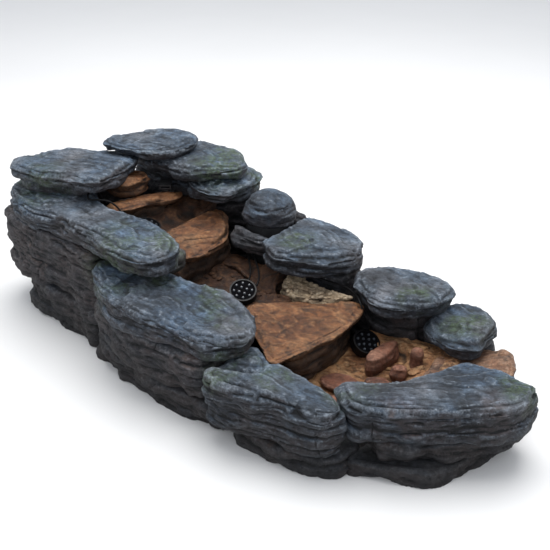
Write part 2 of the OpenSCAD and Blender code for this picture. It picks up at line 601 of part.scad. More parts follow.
module light_lamps() color(LAMP_WHITE) at_lights() translate([0, 0, -1.7]) {
    for (k = [0 : lamps_outer - 1]) rotate([0, 0, 360 * k / lamps_outer])
        translate([light_d * 0.33, 0, 0]) cylinder(h = 2.4, r1 = 3, r2 = 1.8, $fn = 12);
    for (k = [0 : 3]) rotate([0, 0, 90 * k + 20])
        translate([light_d * 0.15, 0, 0]) cylinder(h = 2.4, r1 = 3, r2 = 1.8, $fn = 12);
}

module lead_top() color(BLACK) cord_along(LEAD_TOP, lead_d);

module lead_middle_in() color(BLACK) cord_along(LEAD_MIDDLE_IN, lead_d);

module lead_middle_out() color(BLACK) cord_along(LEAD_MIDDLE_OUT, lead_d);

module lead_lower() color(BLACK) cord_along(LEAD_LOWER, lead_d);

// Gland for the power lead in the back stone, with its nut inside the sump
module power_lead_gland() color(BLACK) gland_axis() difference() {
    union() {
        translate([0, 0, -44]) cylinder(h = 56, r = gland_r);
        translate([0, 0, 9]) cylinder(h = 6, r = 12, $fn = 6);
        translate([0, 0, -44]) cylinder(h = 6, r = 10, $fn = 6);
    }
    translate([0, 0, -50]) cylinder(h = 80, r = 3.5);
}

left_cap_stone();
left_packing_stone();
left_rim_stone();
left_wall_block();
left_base_block();
centre_rim_stone();
centre_wall_block();
centre_base_block();
filler_stone();
right_rim_stone();
right_base_block();
end_rim_stone();
end_middle_stone();
end_base_stone();
end_apron();
back_top_slab();
back_middle_slab();
back_lower_slab();
back_left_block();
sump_back_stone();
slot_stone();
back_centre_cap();
back_centre_block();
back_right_cap();
back_right_block();
back_end_cap();
back_end_block();
spring_rock();
top_ledge();
top_riser();
inner_packing_stone();
middle_ledge();
middle_riser();
pool_back_stone();
gravel_bank();
lower_ledge();
lower_riser();
bed_stones();
top_pool();
middle_pool();
lower_pool_bed();
reservoir_tray();
pump_sump();
access_boulder();
access_spigot();
pump_body();
pump_intake_cover();
pump_impeller();
pump_flow_dial();
riser_hose();
hose_clamps();
spring_spout();
light_housings();
light_faces();
light_lamps();
lead_top();
lead_middle_in();
lead_middle_out();
lead_lower();
power_lead_gland();
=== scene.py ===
import math

import bmesh
import bpy
import numpy as np
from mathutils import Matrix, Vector


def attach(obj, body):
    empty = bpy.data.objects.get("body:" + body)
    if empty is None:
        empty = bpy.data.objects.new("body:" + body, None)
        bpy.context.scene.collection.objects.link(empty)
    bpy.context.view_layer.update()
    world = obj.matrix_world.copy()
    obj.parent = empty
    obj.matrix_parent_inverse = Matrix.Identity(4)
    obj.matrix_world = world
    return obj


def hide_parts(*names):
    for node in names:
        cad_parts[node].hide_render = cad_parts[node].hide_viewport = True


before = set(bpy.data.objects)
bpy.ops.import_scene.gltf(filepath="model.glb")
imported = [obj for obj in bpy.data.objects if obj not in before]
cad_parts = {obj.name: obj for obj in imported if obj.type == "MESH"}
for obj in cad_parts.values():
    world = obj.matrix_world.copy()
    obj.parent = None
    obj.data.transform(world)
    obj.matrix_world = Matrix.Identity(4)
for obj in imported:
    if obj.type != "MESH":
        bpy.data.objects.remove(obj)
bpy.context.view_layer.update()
MM = 0.001


# ---------------------------------------------------------------- noise, on arrays of points
def _corner(ix, iy, iz, seed):
    """A fixed pseudo-random value from -1 to 1 for each grid corner."""
    h = (ix * np.uint32(0x27D4EB2D)) ^ (iy * np.uint32(0x165667B1)) ^ (iz * np.uint32(0x9E3779B1))
    h ^= np.uint32(seed * 7919 + 13)
    h ^= h >> np.uint32(15)
    h *= np.uint32(0x2C1B3C6D)
    h ^= h >> np.uint32(12)
    h *= np.uint32(0x297A2D39)
    h ^= h >> np.uint32(15)
    return h.astype(np.float32) * np.float32(2.0 / 4294967295.0) - np.float32(1.0)


def noise(p, scale, seed=0):
    """Smooth noise from -1 to 1 at points p, with features of size scale (one number or three)."""
    q = p / np.asarray(scale, np.float32) + 1000.0
    i = np.floor(q)
    f = (q - i).astype(np.float32)
    f = f * f * f * (f * (f * 6 - 15) + 10)
    i = i.astype(np.int64).astype(np.uint32)
    x, y, z = i[:, 0], i[:, 1], i[:, 2]
    fx, fy, fz = f[:, 0], f[:, 1], f[:, 2]
    out = np.zeros(len(p), np.float32)
    for dx in (0, 1):
        wx = fx if dx else 1 - fx
        for dy in (0, 1):
            wy = wx * (fy if dy else 1 - fy)
            for dz in (0, 1):
                wz = wy * (fz if dz else 1 - fz)
                out += wz * _corner(x + np.uint32(dx), y + np.uint32(dy), z + np.uint32(dz), seed)
    return out


def fbm(p, scale, seed=0, octaves=3, gain=0.5):
    scale = np.asarray(scale, np.float32)
    total, amp, norm = 0.0, 1.0, 0.0
    for k in range(octaves):
        total = total + amp * noise(p, scale / 2.03 ** k, seed + 31 * k)
        norm += amp
        amp *= gain
    return total / norm * 1.4


def smoothstep(a, b, x):
    t = np.clip((x - a) / (b - a), 0, 1)
    return t * t * (3 - 2 * t)


# ---------------------------------------------------------------- mesh helpers
def arrays(me):
    n = len(me.vertices)
    co = np.empty(n * 3, np.float32)
    me.vertices.foreach_get("co", co)
    nr = np.empty(n * 3, np.float32)
    me.vertex_normals.foreach_get("vector", nr)
    ed = np.empty(len(me.edges) * 2, np.int32)
    me.edges.foreach_get("vertices", ed)
    return co.reshape(-1, 3), nr.reshape(-1, 3), ed.reshape(-1, 2)


def put(me, co):
    me.vertices.foreach_set("co", co.astype(np.float32).ravel())
    me.update()


def neighbours_mean(v, ed, count):
    s = np.zeros_like(v)
    for k in range(v.shape[1]):
        s[:, k] = np.bincount(ed[:, 0], v[ed[:, 1], k], len(v))
        s[:, k] += np.bincount(ed[:, 1], v[ed[:, 0], k], len(v))
    return s / count[:, None]


def counts(ed, n):
    return np.maximum(np.bincount(ed.ravel(), minlength=n), 1).astype(np.float32)


def smooth(v, ed, times, share=0.6):
    c = counts(ed, len(v))
    for _ in range(times):
        v = v + share * (neighbours_mean(v, ed, c) - v)
    return v


def attribute(me, name, values):
    a = me.attributes.get(name) or me.attributes.new(name, "FLOAT", "POINT")
    a.data.foreach_set("value", values.astype(np.float32))


def remeshed(me, voxel, name):
    ob = bpy.data.objects.new("tmp", me)
    bpy.context.scene.collection.objects.link(ob)
    m = ob.modifiers.new("r", "REMESH")
    m.mode = "VOXEL"
    m.voxel_size = voxel
    m.adaptivity = 0
    dg = bpy.context.evaluated_depsgraph_get()
    out = bpy.data.meshes.new_from_object(ob.evaluated_get(dg))
    bpy.data.objects.remove(ob)
    out.name = name
    return out


def add(name, me, material, body="rockwork", nodes=()):
    ob = bpy.data.objects.new(name, me)
    bpy.context.scene.collection.objects.link(ob)
    me.materials.clear()
    me.materials.append(material)
    if me.polygons:
        me.polygons.foreach_set("use_smooth", [True] * len(me.polygons))
    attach(ob, body)
    if nodes:
        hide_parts(*nodes)
    return ob


# ---------------------------------------------------------------- rock carving
def turned(p, angle):
    c, s = math.cos(math.radians(angle)), math.sin(math.radians(angle))
    return np.stack([p[:, 0] * c + p[:, 1] * s, -p[:, 0] * s + p[:, 1] * c, p[:, 2]], 1)


def cells(p, scale, seed):
    """Distance to the nearest of scattered points, in cell sizes."""
    q = (p / scale + 1000.0).astype(np.float32)
    base = np.floor(q).astype(np.int64)
    best = np.full(len(p), 9.0, np.float32)
    for dx in (-1, 0, 1):
        for dy in (-1, 0, 1):
            for dz in (-1, 0, 1):
                c = base + [dx, dy, dz]
                u = c.astype(np.uint32)
                pt = [c[:, k] + 0.5 + 0.42 * _corner(u[:, 0], u[:, 1], u[:, 2], seed + k) for k in range(3)]
                d = np.sqrt(sum((q[:, k] - pt[k]) ** 2 for k in range(3)))
                best = np.minimum(best, d)
    return best


def strata(p, seed, layer):
    """Offset of broken horizontal layers, from about -1 to 1, and how deep a point is in a joint."""
    dip_x, dip_y = 0.06 * math.sin(seed * 2.3), 0.06 * math.cos(seed * 1.7)
    h = p[:, 2] + dip_x * p[:, 0] + dip_y * p[:, 1] + 4.0 * fbm(p, (120, 120, 55), seed + 5, 3)
    u = h / layer + 0.9 * noise(np.stack([0 * h, 0 * h, h], 1), (50, 50, 2.2 * layer), seed + 2)
    k = np.floor(u)
    f = u - k

    def offset(index):
        q = np.stack([p[:, 0], p[:, 1], index * 137.0], 1)
        return 0.9 * noise(q, (64, 64, 40), seed + 11) + 0.45 * noise(q, (27, 27, 40), seed + 12)

    lower, upper = offset(k), offset(k + 1)
    value = lower + (upper - lower) * smoothstep(0.8, 1.0, f)
    joint = np.exp(-((f - 0.9) / 0.08) ** 2) * smoothstep(-0.05, 0.45, noise(p, (42, 42, 9), seed + 17))
    return value, joint


# How each kind of stone is carved, all in mm
# grain: long fine ridges on top; rugged: fine creases; terrace: broken steps down to the top's edge
# grow: outward growth of the sides; wobble: broad unevenness; strata: depth of the layers
# layer: thickness of a layer; steps: broken steps on top; ridges: creases on top; chips: broken faces
STYLE_COLUMNS = ("grain", "rugged", "terrace", "grow", "wobble", "strata", "layer", "steps", "ridges",
                 "chips")
STYLES = {
    "slate": (1.0, 1.7, 4.2, 4.0, 7.0, 5.2, 21.0, 3.6, 1.0, 4.6),
    "slab": (0.9, 1.5, 3.2, 3.5, 6.0, 4.2, 15.0, 3.4, 1.0, 4.0),
    "wall": (0.0, 2.0, 0.0, 9.0, 8.0, 6.0, 24.0, 2.0, 1.0, 4.6),
    "ledge": (0.5, 0.8, 2.2, 4.0, 5.0, 3.6, 12.0, 4.6, 0.3, 3.4),
    "riser": (0.0, 1.8, 0.0, 8.0, 7.0, 5.0, 17.0, 2.0, 1.5, 5.0),
    "bed": (0.0, 1.8, 0.0, 2.0, 6.0, 2.0, 14.0, 2.6, 2.4, 5.0),
    "slope": (0.4, 1.2, 0.0, 2.0, 3.0, 2.0, 14.0, 3.2, 1.2, 3.2),
    "boulder": (0.8, 1.3, 0.8, 1.5, 6.0, 2.2, 21.0, 2.6, 1.2, 4.0),
    "pebble": (0.0, 0.8, 0.0, 3.0, 4.0, 0.8, 10.0, 0.6, 0.4, 2.6),
}


def carve_mesh(me, seed, style, angle=0.0):
    """Turns a plain closed mesh into rock: rounds it, grows it, and cuts layers, steps and chips."""
    s = dict(zip(STYLE_COLUMNS, STYLES[style]))
    co, nr, ed = arrays(me)
    put(me, smooth(co, ed, 16 if style in ("pebble", "slope") else 3))
    co, nr, ed = arrays(me)
    soft = smooth(nr, ed, 4)
    broad = smooth(soft, ed, 26)
    soft /= np.maximum(np.linalg.norm(soft, axis=1), 1e-6)[:, None]
    p = co * 1000.0
    nz = soft[:, 2]
    side = smoothstep(0.8, 0.35, nz)
    top = smoothstep(0.6, 0.9, nz)
    d = s["grow"] * (1 - 0.85 * smoothstep(0.2, 0.8, nz))
    d += s["wobble"] * fbm(p, (95, 95, 80), seed, 2) * (0.35 + 0.65 * side)
    for layer, share in ((s["layer"], 1.0), (0.36 * s["layer"], 0.32)):
        layers, joint = strata(p, seed + int(layer), layer)
        d += side * share * s["strata"] * (layers - 1.3 * joint)
    d += side * 3.0 * fbm(p, (46, 46, 30), seed + 3, 2)
    crack = np.clip(1 - np.abs(noise(p, (62, 62, 120), seed + 7)) / 0.05, 0, 1)
    crack *= smoothstep(0.1, 0.5, noise(p, 80, seed + 8))
    d -= side * 3.5 * crack
    for size, share in ((46.0, 1.5), (19.0, 0.8)):
        near = cells(p * np.array([0.8, 0.8, 2.0], np.float32), size, seed + 21 + int(size))
        d += (0.22 + 0.78 * side) * share * s["chips"] * (near - 0.55)
    q = turned(p, angle)
    flow = fbm(q, (170, 85, 300), seed + 9, 3) * 3.0 + 0.25 * noise(p, 16, seed + 10)
    k = np.floor(flow)
    d += top * s["steps"] * (k + smoothstep(0.78, 1.0, flow - k) - 0.5) * 0.75
    crease = np.abs(fbm(q, (70, 34, 60), seed + 14, 3))
    d -= top * s["ridges"] * (1 - smoothstep(0.0, 0.16, crease))
    rim = 1 - broad[:, 2] + 0.42 * noise(p, (70, 70, 300), seed + 33)
    rim += 0.12 * noise(p, (24, 24, 90), seed + 34)
    drop = s["terrace"] * (smoothstep(0.22, 0.25, rim) + smoothstep(0.50, 0.54, rim))
    drop *= smoothstep(0.0, 0.3, broad[:, 2])
    d += top * 1.0 * fbm(q, (60, 30, 40), seed + 18, 2)
    d += top * s["grain"] * (1 - 2.0 * np.abs(fbm(q, (46, 11, 40), seed + 19, 3)))
    rugged = 1 - 2.2 * np.abs(fbm(p, (34, 34, 10), seed + 15, 3))
    d += s["rugged"] * rugged * (0.35 + 0.65 * side) + 0.4 * noise(p, 6.0, seed + 16)
    p = p + (0.35 * nr + 0.65 * soft) * d[:, None]
    p[:, 2] -= drop
    p[:, 2] = np.maximum(p[:, 2], 0.0)
    put(me, p * MM)
    paint_attributes(me)
    return me


def paint_attributes(me):
    """Stores where the surface is hollow or proud, at two sizes, and which way it faces."""
    co, nr, ed = arrays(me)
    fine = smooth(co, ed, 2)
    broad = smooth(co, ed, 14)
    near_hollow = ((fine - co) * nr).sum(1) * 1000.0 / 0.5
    broad_hollow = ((broad - co) * nr).sum(1) * 1000.0 / 1.6
    attribute(me, "hollow", np.clip(0.45 * near_hollow + 0.75 * broad_hollow, -1.5, 1.5))
    attribute(me, "facing", nr[:, 2])


def patches(me, name, spots, seed):
    """Attribute that is 1 in the soft-edged balls (x, y, z, radius in mm) and broken up by noise."""
    co, nr, ed = arrays(me)
    p = co * 1000.0
    best = np.zeros(len(p), np.float32)
    for x, y, z, r in spots:
        dist = np.sqrt(((p - np.array([x, y, z], np.float32)) ** 2).sum(1))
        best = np.maximum(best, smoothstep(r, r * 0.35, dist))
    best *= smoothstep(-0.55, 0.25, fbm(p, 34, seed + 40, 3))
    attribute(me, name, best)


def rubble(me, seed, count, low, high):
    """Small stones cast half sunk into the upward faces of a mesh, from low to high mm in radius."""
    co, nr, ed = arrays(me)
    rng = np.random.default_rng(seed)
    picks = rng.choice(np.flatnonzero(nr[:, 2] > 0.7), count, replace=False)
    ball = bmesh.new()
    bmesh.ops.create_icosphere(ball, subdivisions=3, radius=1.0)
    unit = np.array([v.co for v in ball.verts], np.float32)
    tris = np.array([[v.index for v in f.verts] for f in ball.faces])
    ball.free()
    verts, faces = [], []
    for k, i in enumerate(picks):
        radius = rng.uniform(low, high)
        shape = [rng.uniform(0.9, 1.3), rng.uniform(0.65, 0.95), rng.uniform(0.4, 0.7)]
        size = radius * np.array(shape, np.float32)
        stone = turned(unit * size, rng.uniform(0, 360)) + co[i] * 1000.0
        stone += unit * (0.16 * size.mean() * noise(stone, 0.9 * size.mean(), seed + k))[:, None]
        verts.append(stone * MM)
        faces.append(tris + k * len(unit))
    stones = bpy.data.meshes.new("rubble")
    stones.from_pydata(np.concatenate(verts).tolist(), [], np.concatenate(faces).tolist())
    both = bmesh.new()
    both.from_mesh(me)
    both.from_mesh(stones)
    both.to_mesh(me)
    both.free()
    bpy.data.meshes.remove(stones)
    paint_attributes(me)


def carve(node, material, seed, style="slate", angle=0.0, voxel=3.4, body="rockwork", stones=None):
    me = remeshed(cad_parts[node].data, voxel * MM, "rock_" + node)
    carve_mesh(me, seed, style, angle)
    if stones:
        rubble(me, seed, *stones)
    patches(me, "moss", MOSS, seed)
    patches(me, "umber", UMBER, seed + 3)
    return add("rock_" + node, me, material, body, [node])


def prism(outline, z0, z1, name):
    """Closed prism mesh over an outline in mm."""
    n = len(outline)
    verts = [(x * MM, y * MM, z0 * MM) for x, y in outline] + [(x * MM, y * MM, z1 * MM) for x, y in outline]
    edges = zip(outline, outline[1:] + outline[:1])
    area = sum(a[0] * b[1] - b[0] * a[1] for a, b in edges)
    ring = list(range(n)) if area > 0 else list(range(n - 1, -1, -1))
    faces = [tuple(reversed(ring)), tuple(i + n for i in ring)]
    faces += [(ring[i], ring[(i + 1) % n], ring[(i + 1) % n] + n, ring[i] + n) for i in range(n)]
    me = bpy.data.meshes.new(name)
    me.from_pydata(verts, [], faces)
    return me


def blended_height(x, y, spots):
    """Height at x, y blended smoothly from spots (x, y, z)."""
    top = np.zeros_like(x)
    total = np.zeros_like(x)
    for sx, sy, sz in spots:
        w = 1.0 / (((x - sx) ** 2 + (y - sy) ** 2) + 60.0) ** 1.6
        top += w * sz
        total += w
    return top / total


def basin(name, outline, base, spots, material, nodes, seed, voxel=3.2, style="bed", stones=None,
          thick=14):
    """Rocky bed over an outline, whose top follows the spots."""
    me = remeshed(prism(outline, base, base + thick, name + "_prism"), voxel * MM, name)
    co, nr, ed = arrays(me)
    p = co * 1000.0
    h = blended_height(p[:, 0], p[:, 1], spots)
    p[:, 2] = base + (p[:, 2] - base) / thick * (h - base)
    put(me, p * MM)
    carve_mesh(me, seed, style, 20.0)
    if stones:
        rubble(me, seed, *stones)
    return add(name, me, material, "rockwork", nodes)


# ---------------------------------------------------------------- materials
class Nodes:
    """Short way to build a material's node tree."""

    def __init__(self, name):
        self.mat = bpy.data.materials.new(name)
        self.mat.use_nodes = True
        self.tree = self.mat.node_tree
        self.shader = self.tree.nodes["Principled BSDF"]
        self.coords = self.tree.nodes.new("ShaderNodeTexCoord").outputs["Object"]

    def link(self, a, b):
        self.tree.links.new(a, b)

    def set(self, **values):
        for k, v in values.items():
            self.shader.inputs[k.replace("_", " ")].default_value = v

    def mapped(self, scale=(1, 1, 1), turn=0.0):
        m = self.tree.nodes.new("ShaderNodeMapping")
        self.link(self.coords, m.inputs["Vector"])
        m.inputs["Scale"].default_value = scale
        m.inputs["Rotation"].default_value = (0, 0, turn)
        return m.outputs["Vector"]

    def noise(self, size_mm, detail=4.0, rough=0.6, vector=None, distortion=0.0):
        n = self.tree.nodes.new("ShaderNodeTexNoise")
        self.link(vector or self.coords, n.inputs["Vector"])
        n.inputs["Scale"].default_value = 1000.0 / size_mm
        n.inputs["Detail"].default_value = detail
        n.inputs["Roughness"].default_value = rough
        n.inputs["Distortion"].default_value = distortion
        return n.outputs["Fac"]

    def voronoi(self, size_mm, feature="F1"):
        n = self.tree.nodes.new("ShaderNodeTexVoronoi")
        n.feature = feature
        self.link(self.coords, n.inputs["Vector"])
        n.inputs["Scale"].default_value = 1000.0 / size_mm
        return n.outputs["Distance"]

    def attr(self, name):
        n = self.tree.nodes.new("ShaderNodeAttribute")
        n.attribute_name = name
        return n.outputs["Fac"]

    def ramp(self, fac, stops):
        n = self.tree.nodes.new("ShaderNodeValToRGB")
        self.link(fac, n.inputs["Fac"])
        while len(n.color_ramp.elements) < len(stops):
            n.color_ramp.elements.new(0.5)
        for e, (pos, col) in zip(n.color_ramp.elements, stops):
            e.position = pos
            e.color = (*col, 1.0) if isinstance(col, tuple) else (col, col, col, 1.0)
        return n.outputs["Color"]

    def span(self, value, a, b, lo=0.0, hi=1.0):
        n = self.tree.nodes.new("ShaderNodeMapRange")
        self.link(value, n.inputs["Value"])
        n.inputs["From Min"].default_value = a
        n.inputs["From Max"].default_value = b
        n.inputs["To Min"].default_value = lo
        n.inputs["To Max"].default_value = hi
        n.interpolation_type = "SMOOTHSTEP"
        return n.outputs["Result"]

    def math(self, op, a, b):
        n = self.tree.nodes.new("ShaderNodeMath")
        n.operation = op
        for k, v in enumerate((a, b)):
            if isinstance(v, (int, float)):
                n.inputs[k].default_value = v
            else:
                self.link(v, n.inputs[k])
        return n.outputs[0]

    def mix(self, fac, a, b, mode="MIX"):
        n = self.tree.nodes.new("ShaderNodeMix")
        n.data_type = "RGBA"
        n.blend_type = mode
        for k, v in ((0, fac), (6, a), (7, b)):
            if isinstance(v, (int, float)):
                n.inputs[k].default_value = v
            elif isinstance(v, tuple):
                n.inputs[k].default_value = (*v, 1.0)
            else:
                self.link(v, n.inputs[k])
        return n.outputs[2]

    def bump(self, height, depth_mm, strength=1.0, under=None):
        n = self.tree.nodes.new("ShaderNodeBump")
        self.link(height, n.inputs["Height"])
        n.inputs["Strength"].default_value = strength
        n.inputs["Distance"].default_value = depth_mm * MM
        if under is not None:
            self.link(under, n.inputs["Normal"])
        return n.outputs["Normal"]

    def done(self, color=None, rough=None, normal=None):
        if color is not None:
            self.link(color, self.shader.inputs["Base Color"])
        if rough is not None:
            self.link(rough, self.shader.inputs["Roughness"])
        if normal is not None:
            self.link(normal, self.shader.inputs["Normal"])
        return self.mat


def slate_material(name, deep, mid, pale, brush, brown=0.5):
    """Painted slate: mottled blue-grey, umber sides, patches of moss, dark joints, dry-brushed edges,
    painted shade on the sides and in the dark-washed hollows, darker towards the bottom.
    """
    m = Nodes(name)
    hollow, facing = m.attr("hollow"), m.attr("facing")
    base = m.ramp(m.noise(75, 8, 0.6, distortion=0.8), [(0.34, deep), (0.50, mid), (0.66, pale)])
    warm_to_cool = [(0.36, (1.14, 0.92, 0.80)), (0.5, 1.0), (0.64, (0.84, 1.02, 1.18))]
    tint = m.ramp(m.noise(110, 4, 0.55), warm_to_cool)
    base = m.mix(0.9, base, tint, "MULTIPLY")
    mottle = m.ramp(m.noise(48, 6, 0.62, distortion=0.6), [(0.36, 0.58), (0.5, 1.0), (0.66, 1.46)])
    base = m.mix(1.0, base, mottle, "MULTIPLY")
    streak = m.noise(24, 6, 0.68, m.mapped((1, 1, 4.5)))
    base = m.mix(m.span(streak, 0.38, 0.7, 0.0, 0.4), base, deep)
    side = m.span(facing, 0.72, 0.2)
    warm = m.math("MULTIPLY", side, m.span(m.noise(80, 5, 0.6), 0.40, 0.60, 0.0, brown))
    washed = m.math("MULTIPLY", m.attr("umber"), m.span(m.noise(24, 4, 0.6), 0.3, 0.6, 0.3, 0.85))
    warm = m.math("MAXIMUM", warm, washed)
    base = m.mix(warm, base, (0.112, 0.078, 0.068))
    # Painted shade: the sides are taken up to 70% of the way to near black.
    base = m.mix(m.math("MULTIPLY", side, 0.70), base, (0.010, 0.010, 0.015))
    green = m.math("MULTIPLY", m.attr("moss"), m.span(m.noise(11, 6, 0.72), 0.36, 0.56))
    base = m.mix(m.math("MULTIPLY", green, 0.78), base, (0.054, 0.086, 0.036))
    proud = m.math("MULTIPLY", m.span(hollow, -0.25, -1.25), m.span(m.noise(8, 6, 0.75), 0.40, 0.66))
    base = m.mix(m.math("MULTIPLY", proud, m.span(facing, -0.2, 0.8, 0.25, 0.62)), base, brush)
    # Painted shade in the hollows, darkest where they face sideways or down, together with the dark wash:
    # near black.
    hollow_wash_and_shade = m.math("MULTIPLY", m.span(hollow, 0.05, 0.75, 0.0, 0.95), m.span(facing, 0.95, 0.6, 0.55, 1.0))
    base = m.mix(hollow_wash_and_shade, base, (0.005, 0.006, 0.008))
    fine_pits = m.span(m.noise(6.5, 6, 0.8, m.mapped((1, 2.0, 1), 0.2)), 0.44, 0.34)
    pits = m.math("MULTIPLY", fine_pits, m.span(m.noise(30, 3), 0.38, 0.58, 0.12, 0.8))
    base = m.mix(pits, base, (0.008, 0.009, 0.011))
    where = m.span(m.noise(45, 2), 0.55, 0.62, 0.0, 0.6)
    fleck = m.math("MULTIPLY", m.span(m.voronoi(15), 0.085, 0.04), where)
    base = m.mix(fleck, base, (0.42, 0.44, 0.45))
    base = m.mix(1.0, base, m.ramp(m.noise(4.5, 7, 0.82), [(0.30, 0.45), (0.70, 1.55)]), "MULTIPLY")
    layered = m.ramp(m.noise(17, 6, 0.7, m.mapped((1, 1, 2.5))), [(0.34, 0.62), (0.66, 1.38)])
    base = m.mix(1.0, base, layered, "MULTIPLY")
    # Darker towards the bottom: 0.42 of the colour at the floor, full colour from 0.15 m up.
    low = m.tree.nodes.new("ShaderNodeSeparateXYZ")
    m.link(m.coords, low.inputs["Vector"])
    darker_low_down = m.ramp(m.span(low.outputs["Z"], 0.0, 0.15), [(0.0, 0.42), (1.0, 1.0)])
    base = m.mix(1.0, base, darker_low_down, "MULTIPLY")
    rough = m.span(m.noise(16, 4), 0.3, 0.7, 0.56, 0.82)
    fine = m.bump(m.noise(2.4, 5, 0.75), 0.6, 0.7)
    return m.done(base, rough, m.bump(m.noise(12, 9, 0.8, m.mapped((1, 1, 2.2))), 6.5, 1.0, fine))


def ochre_material(name, dark, rust, ochre, pale, side_shade=0.75, rough_low=0.36):
    """Stained stream stone: rust and ochre on top, dark brown hollows and sides (painted shade, with a dark
    wash in the hollows), a damp sheen.
    """
    m = Nodes(name)
    hollow, facing = m.attr("hollow"), m.attr("facing")
    base = m.ramp(m.noise(55, 7, 0.62, distortion=0.8), [(0.30, rust), (0.52, ochre), (0.72, pale)])
    streak = m.noise(22, 6, 0.7, m.mapped((1, 2.6, 1), 0.35))
    base = m.mix(m.span(streak, 0.40, 0.68, 0.0, 0.6), base, rust)
    stain = m.span(m.noise(38, 5, 0.65, distortion=1.2), 0.50, 0.62)
    base = m.mix(m.math("MULTIPLY", stain, 0.62), base, dark)
    side = m.span(facing, 0.7, 0.15)
    # Painted shade: the sides are darkened towards the dark brown.
    base = m.mix(m.math("MULTIPLY", side, side_shade), base, dark)
    proud = m.math("MULTIPLY", m.span(hollow, 0.0, -0.8), m.span(m.noise(6, 4, 0.7), 0.4, 0.62))
    base = m.mix(m.math("MULTIPLY", proud, m.span(facing, 0.0, 0.8, 0.15, 0.55)), base, pale)
    # Painted shade in the hollows, darkest where they face sideways or down, together with the dark wash:
    # near black.
    hollow_wash_and_shade = m.math("MULTIPLY", m.span(hollow, 0.05, 0.8, 0.0, 0.92), m.span(facing, 0.95, 0.6, 0.32, 1.0))
    base = m.mix(hollow_wash_and_shade, base, (0.014, 0.008, 0.005))
    base = m.mix(1.0, base, m.ramp(m.noise(4.5, 7, 0.82), [(0.30, 0.5), (0.70, 1.5)]), "MULTIPLY")
    base = m.mix(1.0, base, m.ramp(m.noise(20, 6, 0.7), [(0.34, 0.66), (0.66, 1.34)]), "MULTIPLY")
    rough = m.span(m.noise(20, 4), 0.3, 0.7, rough_low, rough_low + 0.3)
    fine = m.bump(m.noise(2.4, 4, 0.7), 0.45, 0.6)
    return m.done(base, rough, m.bump(m.noise(12, 9, 0.8), 5.0, 1.0, fine))


def plastic_material(name, colour, rough, grain_mm=1.2, grain_depth=0.05, sheen=0.0, shine=0.5):
    """Moulded plastic or rubber: slight mottling, fine moulded grain, handling marks in the gloss."""
    m = Nodes(name)
    dull = tuple(min(1.0, c * 0.72) for c in colour)
    base = m.mix(m.span(m.noise(14, 5, 0.65), 0.35, 0.65), dull, colour)
    marks = m.span(m.noise(5, 6, 0.7), 0.3, 0.7, max(0.05, rough - 0.09), min(1.0, rough + 0.12))
    m.set(Coat_Weight=sheen, Specular_IOR_Level=shine)
    return m.done(base, marks, m.bump(m.noise(grain_mm, 3, 0.6), grain_depth, 0.5))


def steel_material(name):
    m = Nodes(name)
    brushed = m.noise(0.8, 4, 0.6, m.mapped((1, 1, 14)))
    m.set(Metallic=1.0)
    colour = m.ramp(brushed, [(0.3, (0.42, 0.42, 0.43)), (0.7, (0.66, 0.66, 0.67))])
    return m.done(colour, m.span(brushed, 0.2, 0.8, 0.24, 0.44), m.bump(brushed, 0.03, 0.5))


SLATE = slate_material(
    "painted_slate",
    (0.026, 0.037, 0.053), (0.070, 0.094, 0.128), (0.140, 0.178, 0.225),
    (0.32, 0.37, 0.43), 0.72)
# A darker, greyer copy of the painted slate for the walls and base blocks: darker paint, with painted shade
# for these side-facing stones on top of it.
SLATE_DARK_SHADED = slate_material(
    "slate_dark_shaded",
    (0.017, 0.019, 0.025), (0.040, 0.043, 0.052), (0.074, 0.078, 0.090),
    (0.19, 0.19, 0.205), 0.9)
OCHRE = ochre_material(
    "stained_ledge",
    (0.020, 0.009, 0.004), (0.088, 0.030, 0.010), (0.180, 0.070, 0.024),
    (0.34, 0.175, 0.078))
RISER = ochre_material(
    "stained_riser",
    (0.012, 0.007, 0.005), (0.040, 0.018, 0.009), (0.080, 0.038, 0.018),
    (0.15, 0.080, 0.042), 0.55)
BED = ochre_material(
    "stream_bed",
    (0.009, 0.004, 0.003), (0.030, 0.010, 0.005), (0.066, 0.026, 0.010),
    (0.15, 0.070, 0.030), 0.5)
LOW_BED = ochre_material(
    "lower_bed",
    (0.040, 0.019, 0.010), (0.190, 0.080, 0.034), (0.37, 0.180, 0.078),
    (0.56, 0.35, 0.18), 0.6)
APRON = ochre_material(
    "apron_rust",
    (0.022, 0.019, 0.019), (0.140, 0.058, 0.032), (0.23, 0.120, 0.068),
    (0.38, 0.25, 0.17), 0.95, 0.5)
GRAVEL = ochre_material(
    "tan_gravel",
    (0.100, 0.066, 0.042), (0.27, 0.185, 0.115), (0.46, 0.35, 0.225),
    (0.64, 0.54, 0.40), 0.35, 0.55)
RED = ochre_material(
    "rust_red_stone",
    (0.030, 0.012, 0.008), (0.110, 0.036, 0.020), (0.20, 0.075, 0.042),
    (0.36, 0.19, 0.125), 0.35)
BLACK = plastic_material("black_plastic", (0.022, 0.022, 0.024), 0.42)
PUMP = plastic_material("pump_plastic", (0.030, 0.033, 0.040), 0.5, 0.8, 0.08)
WHITE = plastic_material("white_plastic", (0.74, 0.74, 0.70), 0.38)
DIAL = plastic_material("dial_plastic", (0.05, 0.16, 0.34), 0.4)
HOSE = plastic_material("hose_rubber", (0.020, 0.021, 0.021), 0.55, 2.0, 0.06)
LEAD = plastic_material("lead_rubber", (0.005, 0.005, 0.006), 0.55, 1.5, 0.03, 0.0, 0.2)
CASE = plastic_material("light_case", (0.005, 0.005, 0.006), 0.4, 1.4, 0.02, 0.0, 0.25)
FACE = plastic_material("light_face", (0.003, 0.003, 0.004), 0.85, 1.4, 0.04, 0.0, 0.05)
LAMP = plastic_material("lamp_dome", (0.07, 0.08, 0.095), 0.2, 1.0, 0.01, 0.2)
STEEL = steel_material("clamp_steel")


